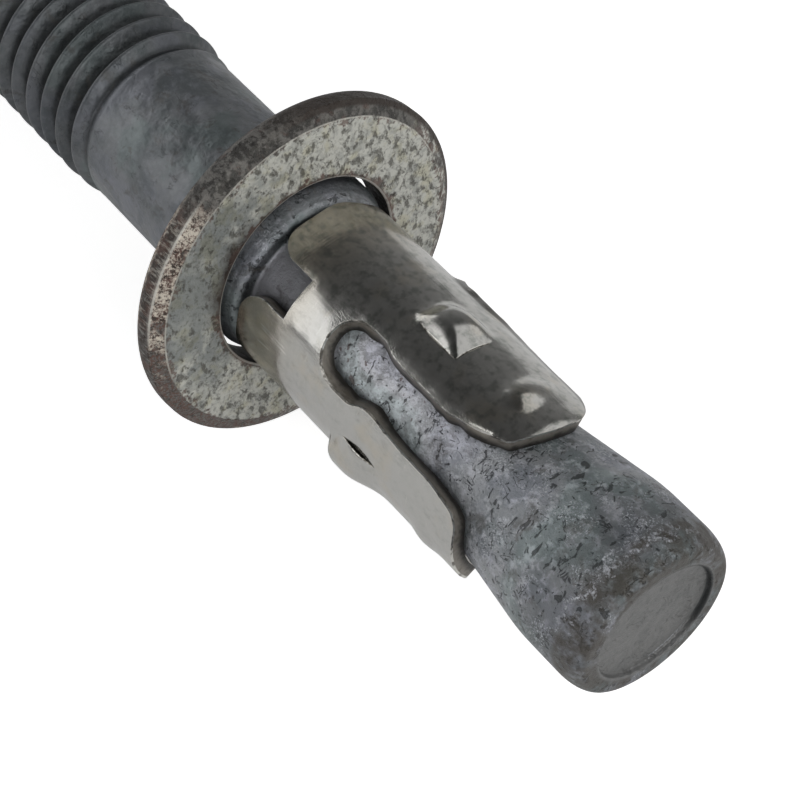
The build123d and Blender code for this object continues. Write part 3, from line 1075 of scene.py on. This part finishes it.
def stainlessSheet():
    look = sheetLook
    material, spot = startMaterial("stainlessSheet", look["base"], 1.0, 0.26, onBolt)
    along, _, angle = lathed(spot)
    reach = addNode(material.node_tree, "ShaderNodeAttribute", attribute_name="rimReach").outputs["Fac"]
    blot = cloud(spot, 0.35, 4, 0.6)
    tabs = band(along, *look["tabsFrom"], (0, 0.7))
    warm = greater(band(blot, 0.5, 0.68, (0, 0.5)), tabs)
    colour = tint(warm, look["base"], look["warm"])
    smear = cloud(stretched(spot, (0.7, 1.3, 1.3)), 1.2, 6, 0.7)
    colour = tint(band(smear, 0.5, 0.72, (0, 0.32)), colour, look["smear"])
    # real stain, and painted dark reflection where it grows over the upper leg
    stain = cloud(spot, 1.7, 4, 0.6)
    stainAndDarkReflection = product(band(stain, 0.45, 0.68), band(angle, *look["upperLeg"], (0.1, 0.75)))
    colour = tint(stainAndDarkReflection, colour, look["stain"])
    # painted shade on the sheet along that burr
    turned = product(band(angle, *look["burrShadeFrom"]), band(angle, *look["burrShadeTo"]))
    shadedBurr = product(turned, band(reach, *look["burrShadeReach"]), 0.92)
    colour = tint(shadedBurr, colour, look["burrShade"])
    # a few long scratches near the end of one leg's tab
    arc = product(angle, clip["radius"])
    for startAt, startArc, endAt, endArc in scratches.values():
        slope = (endArc - startArc) / (endAt - startAt)
        path = plus(product(along, slope), startArc - slope * startAt)
        line = product(nearTo(arc, path, 0.08, 0.03),
                       band(along, startAt, startAt + 0.3), band(along, endAt, endAt - 0.3), 0.8)
        colour = tint(line, colour, look["burr"])
    lengthwise = cloud(stretched(spot, (0.5, 9, 9)), 1.0, 4, 0.6)
    crosswise = cloud(stretched(spot, (9, 0.9, 0.9)), 1.0, 4, 0.6)
    fine = product(band(crosswise, 0.6, 0.7), band(stain, 0.42, 0.56), 0.4)
    colour = tint(fine, colour, look["burr"])
    rough = band(plus(smear, lengthwise), 0.7, 1.3, look["roughness"])
    finish = bumps(plus(lengthwise, crosswise), 0.003)
    uneven = bumps(cloud(spot, 0.5, 1, 0.5), 0.09, 1.0, finish)
    nearEdge = band(plus(reach, band(smear, 0.3, 0.7, (-0.4, 0.4))), 0.9, 0.1)
    sparkle = bumps(cloud(spot, 12.0, 1, 0.6), 0.012, nearEdge, uneven)
    return finished(material, colour, sparkle, rough)


def shearedEdge():
    look = sheetLook
    material, spot = startMaterial("shearedEdge", look["edge"], 0.75, 0.42, onBolt)
    _, radius, _ = lathed(spot)
    smear = cloud(stretched(spot, (0.7, 1.6, 1.6)), 1.1, 5, 0.6)
    colour = tint(band(smear, 0.5, 0.68, (0, 0.7)), look["edge"], look["edgeDark"])
    # painted shadow at the cut faces' foot, next to the bolt
    foot = band(plus(radius, band(smear, 0.3, 0.7, (-0.12, 0.12))), *look["footShadowFrom"])
    colour = tint(product(foot, 0.92), colour, look["footShadow"])
    return finished(material, colour, bumps(smear, 0.06))


def brightBurr():
    look = sheetLook
    material, spot = startMaterial("brightBurr", look["burr"], 1.0, 0.24, onBolt)
    chips = band(cloud(spot, 1.6, 4, 0.65), 0.36, 0.52)
    colour = tint(chips, look["burrDirt"], look["burr"])
    return finished(material, colour, bumps(cloud(spot, 4.0, 3, 0.6), 0.03))


# painted shade: the cut faces in the barbs' slits are near black
def cutFacesInShade():
    look = sheetLook
    material, spot = startMaterial("cutFacesInShade", look["cut"], 0.3, 0.6, onBolt)
    return finished(material, tint(band(cloud(spot, 2.5, 4, 0.6), 0.6, 0.75), look["cut"], look["edgeDark"]))


washerLook = {
    "pale": (0.58, 0.58, 0.53),
    "grey": (0.4, 0.405, 0.375),
    "blue": (0.215, 0.232, 0.228),
    "yellow": (0.95, 0.925, 0.82),
    "pit": (0.075, 0.072, 0.058),
    "rust": (0.115, 0.06, 0.046),
    "umber": (0.036, 0.025, 0.019),
    "rim": (0.03, 0.028, 0.025),
    "rimLight": (0.165, 0.16, 0.148),
    "cream": (0.66, 0.6, 0.51),
    "line": (0.72, 0.7, 0.64),
    # painted shade for the bore's wall
    "bore": (0.018, 0.017, 0.014),
    # each zone's middle, and how far from it the zone ends and is full, as angles round the washer
    "blueZone": (-1.15, 0.95, 0.35),
    "creamZone": (-0.95, 0.6, 0.3),
    "dullZone": (-1.7, 1.2, 0.7),
    "litZone": (-1.0, 0.5, 0.2),
    "darkZone": (0.2, 0.95, 0.7),
    "outerHighlightZone": (-1.0, 0.5, 0.25),
    "innerHighlightZone": (-0.2, 1.7, 1.3),
    "boreShadeZone": (-0.95, 0.6, 0.25),
    "farZone": (1.3, 1.5, 1.1),
}


def pittedZinc():
    look, bore, edge = washerLook, washer["bore"], washer["radius"]
    slantFrom = edge - washer["chamferAcross"]
    material, spot = startMaterial("pittedZinc", look["grey"], 0.3, 0.5, onWasher)
    along, radius, angle = lathed(spot)
    patch = cloud(spot, 0.3, 4, 0.6, 0.4)
    mottle = cloud(spot, 1.0, 5, 0.66, 0.4)
    colour = tint(band(mottle, 0.36, 0.54), look["grey"], look["pale"])
    drift = band(patch, 0.35, 0.65, (-0.35, 0.35))
    blueZone = nearTo(plus(angle, drift), *look["blueZone"])
    colour = tint(product(blueZone, 0.85), colour, look["blue"])
    yellowed = band(cloud(spot, 0.7, 4, 0.6), 0.5, 0.62)
    colour = tint(yellowed, colour, look["yellow"], "MULTIPLY")
    # round pits that run together, dense where the zinc is pale
    speckle = cloud(stretched(spot, (1, 1.2, 0.85), (0.6, 0, 0)), 1.55, 3, 0.62, 0.1)
    dense = plus(band(patch, 0.36, 0.62, (0.58, 0.53)), product(blueZone, 0.045))
    pits = band(minus(speckle, dense), -0.06, 0.09)
    colour = tint(product(pits, 0.8), colour, look["pit"])
    fine = band(cloud(spot, 3.6, 3, 0.6), 0.48, 0.7, (0, 0.5))
    colour = tint(fine, colour, look["pit"])
    # rust round the bore and on the slanted edge, which is speckled with bare cream zinc
    ragged = cloud(spot, 0.9, 5, 0.66)
    fromBore = plus(radius, band(ragged, 0.42, 0.72, (0.1, -0.55)))
    burnt = tint(band(mottle, 0.42, 0.58), look["umber"], look["rust"])
    colour = tint(product(band(fromBore, bore + 0.5, bore + 0.22), 0.85), colour, burnt)
    # darker umber by the bore on one side: rust with painted shade
    boreRustAndShade = product(band(fromBore, bore + 1.5, bore + 0.3), nearTo(angle, *look["boreShadeZone"]), 0.7)
    colour = tint(boreRustAndShade, colour, look["umber"])
    boreLine = product(nearTo(radius, bore + 0.1, 0.09, 0.03), 0.5)
    colour = tint(boreLine, colour, look["line"])
    flecks = cloud(spot, 3.2, 4, 0.7)
    creamZone = nearTo(plus(angle, drift), *look["creamZone"])
    dullZone = nearTo(plus(angle, drift), *look["dullZone"])
    onSlant = band(radius, slantFrom - 0.02, slantFrom + 0.1)
    bitten = plus(radius, band(ragged, 0.42, 0.7, (0.08, 0.75)))
    reddened = product(band(bitten, slantFrom, slantFrom + 0.3), band(flecks, 0.42, 0.52), 0.75)
    edging = tint(band(mottle, 0.4, 0.56), look["umber"], look["rust"])
    colour = tint(reddened, colour, edging)
    crumbs = cloud(spot, 6.5, 4, 0.75)
    mixture = plus(product(crumbs, 0.4), product(flecks, 0.35))
    mixture = plus(mixture, product(ragged, 0.25))
    browned = tint(band(flecks, 0.4, 0.54), look["umber"], look["rust"])
    dull = tint(band(crumbs, 0.44, 0.62), browned, look["rimLight"])
    colour = tint(product(onSlant, dullZone, 0.92), colour, dull)
    creamed = tint(band(mixture, 0.455, 0.56), browned, look["cream"])
    colour = tint(product(onSlant, creamZone), colour, creamed)
    ribs = cloud(stretched(spot, (0.7, 3.2, 3.2)), 1.5, 4, 0.7)
    blend = plus(product(ribs, 0.6), product(flecks, 0.4))
    rim = tint(band(blend, 0.47, 0.6), look["umber"], look["rimLight"])
    rim = tint(band(mottle, 0.5, 0.62, (0, 0.6)), rim, look["rust"])
    lit = product(nearTo(angle, *look["litZone"]), band(ribs, 0.5, 0.62), 0.3)
    rim = tint(lit, rim, look["cream"])
    colour = tint(band(radius, edge - 0.1, edge - 0.02), colour, rim)
    # the upper part of the slant and the rim is one dark band
    darkBandMix = plus(product(mottle, 0.6), product(flecks, 0.4))
    darkBandColour = tint(band(darkBandMix, 0.45, 0.57), look["rim"], look["rimLight"])
    darkBandColour = tint(band(ragged, 0.56, 0.68, (0, 0.5)), darkBandColour, look["rust"])
    dark = product(band(radius, slantFrom, slantFrom + 0.1), nearTo(angle, *look["darkZone"]), 0.92)
    colour = tint(dark, colour, darkBandColour)
    # painted highlights: thin bright lines where the slant meets the rim and the face
    outer = product(nearTo(radius, edge - 0.07, 0.085, 0.03), nearTo(angle, *look["outerHighlightZone"]))
    inner = product(nearTo(radius, slantFrom + 0.03, 0.07, 0.02), nearTo(angle, *look["innerHighlightZone"]))
    paintedEdgeHighlights = product(greater(outer, inner), band(ragged, 0.36, 0.5), band(along, 0.7, 0.55), 0.7)
    colour = tint(paintedEdgeHighlights, colour, look["line"])
    farEdge = product(band(radius, edge - 0.45, edge - 0.25), nearTo(angle, *look["farZone"]), 0.85)
    colour = tint(farEdge, colour, look["umber"])
    # painted shade: the bore's wall is near black
    boreWallShade = product(band(radius, bore + 0.06, bore + 0.02), 0.95)
    colour = tint(boreWallShade, colour, look["bore"])
    sunk = bumps(minus(1.0, pits), 0.07)
    flaky = bumps(product(flecks, onSlant), 0.12, 1.0, sunk)
    grainy = bumps(plus(mottle, cloud(spot, 4.0, 3, 0.6)), 0.05, 0.8, flaky)
    return finished(material, colour, grainy, band(mottle, 0.3, 0.7, (0.42, 0.6)))


def dress(piece, *materials):
    for material in materials:
        piece.data.materials.append(material)


zincMaterial = galvanised()
dress(boltPiece, zincMaterial)
dress(nutPiece, zincMaterial)
dress(clipPiece, stainlessSheet(), shearedEdge(), brightBurr(), cutFacesInShade())
dress(washerPiece, pittedZinc())
finishClip(clipPiece)
print("materials made")

for piece, where, node, body, slotName in (
    (boltPiece, onBolt, "anchor_bolt", "bolt", "bolt_steel"),
    (clipPiece, onBolt, "expansion_clip", "clip", "clip_steel"),
    (washerPiece, onWasher, "washer", "washer", "washer_steel"),
    (nutPiece, onBolt, "hex_nut", "nut", "nut_steel"),
):
    place(piece, where)
    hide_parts(node)
    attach(piece, body)
print("pieces placed")

# Floor, light and camera

studio = {
    "floorSize": 6.0,
    "floorAt": -0.0002,
    "floorColour": (0.8, 0.8, 0.8),
    "floorGlow": 0.75,            # only what the camera and shining surfaces see
    "mirrored": 0.3,              # the share of that glow that shining surfaces see
    "world": (0.3, 0.05),         # at the horizon and overhead
}


def makeFloor():
    floor = addNew("floor", bpy.ops.mesh.primitive_plane_add,
                   size=studio["floorSize"], location=(0, 0, studio["floorAt"]))
    material = bpy.data.materials.new("paleFloor")
    material.use_nodes = True
    tree = material.node_tree
    tree.nodes.clear()
    matte = addNode(tree, "ShaderNodeBsdfDiffuse", {"Color": (*studio["floorColour"], 1)})
    path = addNode(tree, "ShaderNodeLightPath")
    mirrored = product(path.outputs["Is Glossy Ray"], studio["mirrored"])
    seen = greater(path.outputs["Is Camera Ray"], greater(mirrored, path.outputs["Is Transmission Ray"]))
    strength = product(seen, studio["floorGlow"])
    glow = addNode(tree, "ShaderNodeEmission", {"Color": (1, 1, 1, 1), "Strength": strength})
    both = addNode(tree, "ShaderNodeAddShader", {0: matte.outputs[0], 1: glow.outputs[0]})
    addNode(tree, "ShaderNodeOutputMaterial", {"Surface": both.outputs[0]})
    dress(floor, material)


def makeWorld():
    world = bpy.data.worlds.new("studioWorld")
    bpy.context.scene.world = world
    world.use_nodes = True
    background = world.node_tree.nodes["Background"]
    background.inputs["Color"].default_value = (1, 1, 1, 1)
    direction = addNode(world.node_tree, "ShaderNodeTexCoord").outputs["Generated"]
    height = addNode(world.node_tree, "ShaderNodeSeparateXYZ", {0: direction}).outputs["Z"]
    strength = addNode(world.node_tree, "ShaderNodeMapRange", {
        "Value": height, "To Min": studio["world"][0], "To Max": studio["world"][1],
    }).outputs["Result"]
    connect(strength, background.inputs["Strength"])


view = {
    "lens": 105.1,
    "azimuth": 52.744,
    "elevation": 53.149,
    "roll": -0.205,
    "distance": 0.13518,
    "targetAt": (0.029096, -0.001246, 0.011264),
}


def directionTo(azimuth, elevation):
    turn, rise = math.radians(azimuth), math.radians(elevation)
    return Vector((math.sin(turn) * math.cos(rise), -math.cos(turn) * math.cos(rise), math.sin(rise)))


def makeCamera():
    target = Vector(view["targetAt"])
    away = directionTo(view["azimuth"], view["elevation"]) * view["distance"]
    camera = addNew("camera", bpy.ops.object.camera_add, location=target + away)
    camera.data.lens = view["lens"]
    camera.data.clip_start = 0.01
    camera.rotation_mode = "QUATERNION"
    level = (target - camera.location).to_track_quat("-Z", "Y")
    camera.rotation_quaternion = level @ Quaternion((0, 0, 1), math.radians(view["roll"]))
    bpy.context.scene.camera = camera


lamps = {
    "leftBox": {"azimuth": -55, "elevation": 24.5, "distance": 0.8, "size": (1.7, 0.49), "power": 3.2},
    "frontBox": {"azimuth": 80, "elevation": 30, "distance": 0.8, "size": (0.7, 0.7), "power": 3.2},
    "rightBox": {"azimuth": 156, "elevation": 48, "distance": 0.8, "size": (0.9, 0.9), "power": 1.8},
}


def makeLamps():
    target = Vector(view["targetAt"])
    for name, lamp in lamps.items():
        away = directionTo(lamp["azimuth"], lamp["elevation"]) * lamp["distance"]
        light = addNew(name, bpy.ops.object.light_add, type="AREA", location=target + away)
        light.data.shape = "RECTANGLE"
        light.data.size, light.data.size_y = lamp["size"]
        light.data.energy = lamp["power"]
        light.rotation_euler = (target - light.location).to_track_quat("-Z", "Y").to_euler()


makeFloor()
makeWorld()
makeCamera()
makeLamps()
bpy.context.scene.view_settings.view_transform = "Standard"
print("studio set")
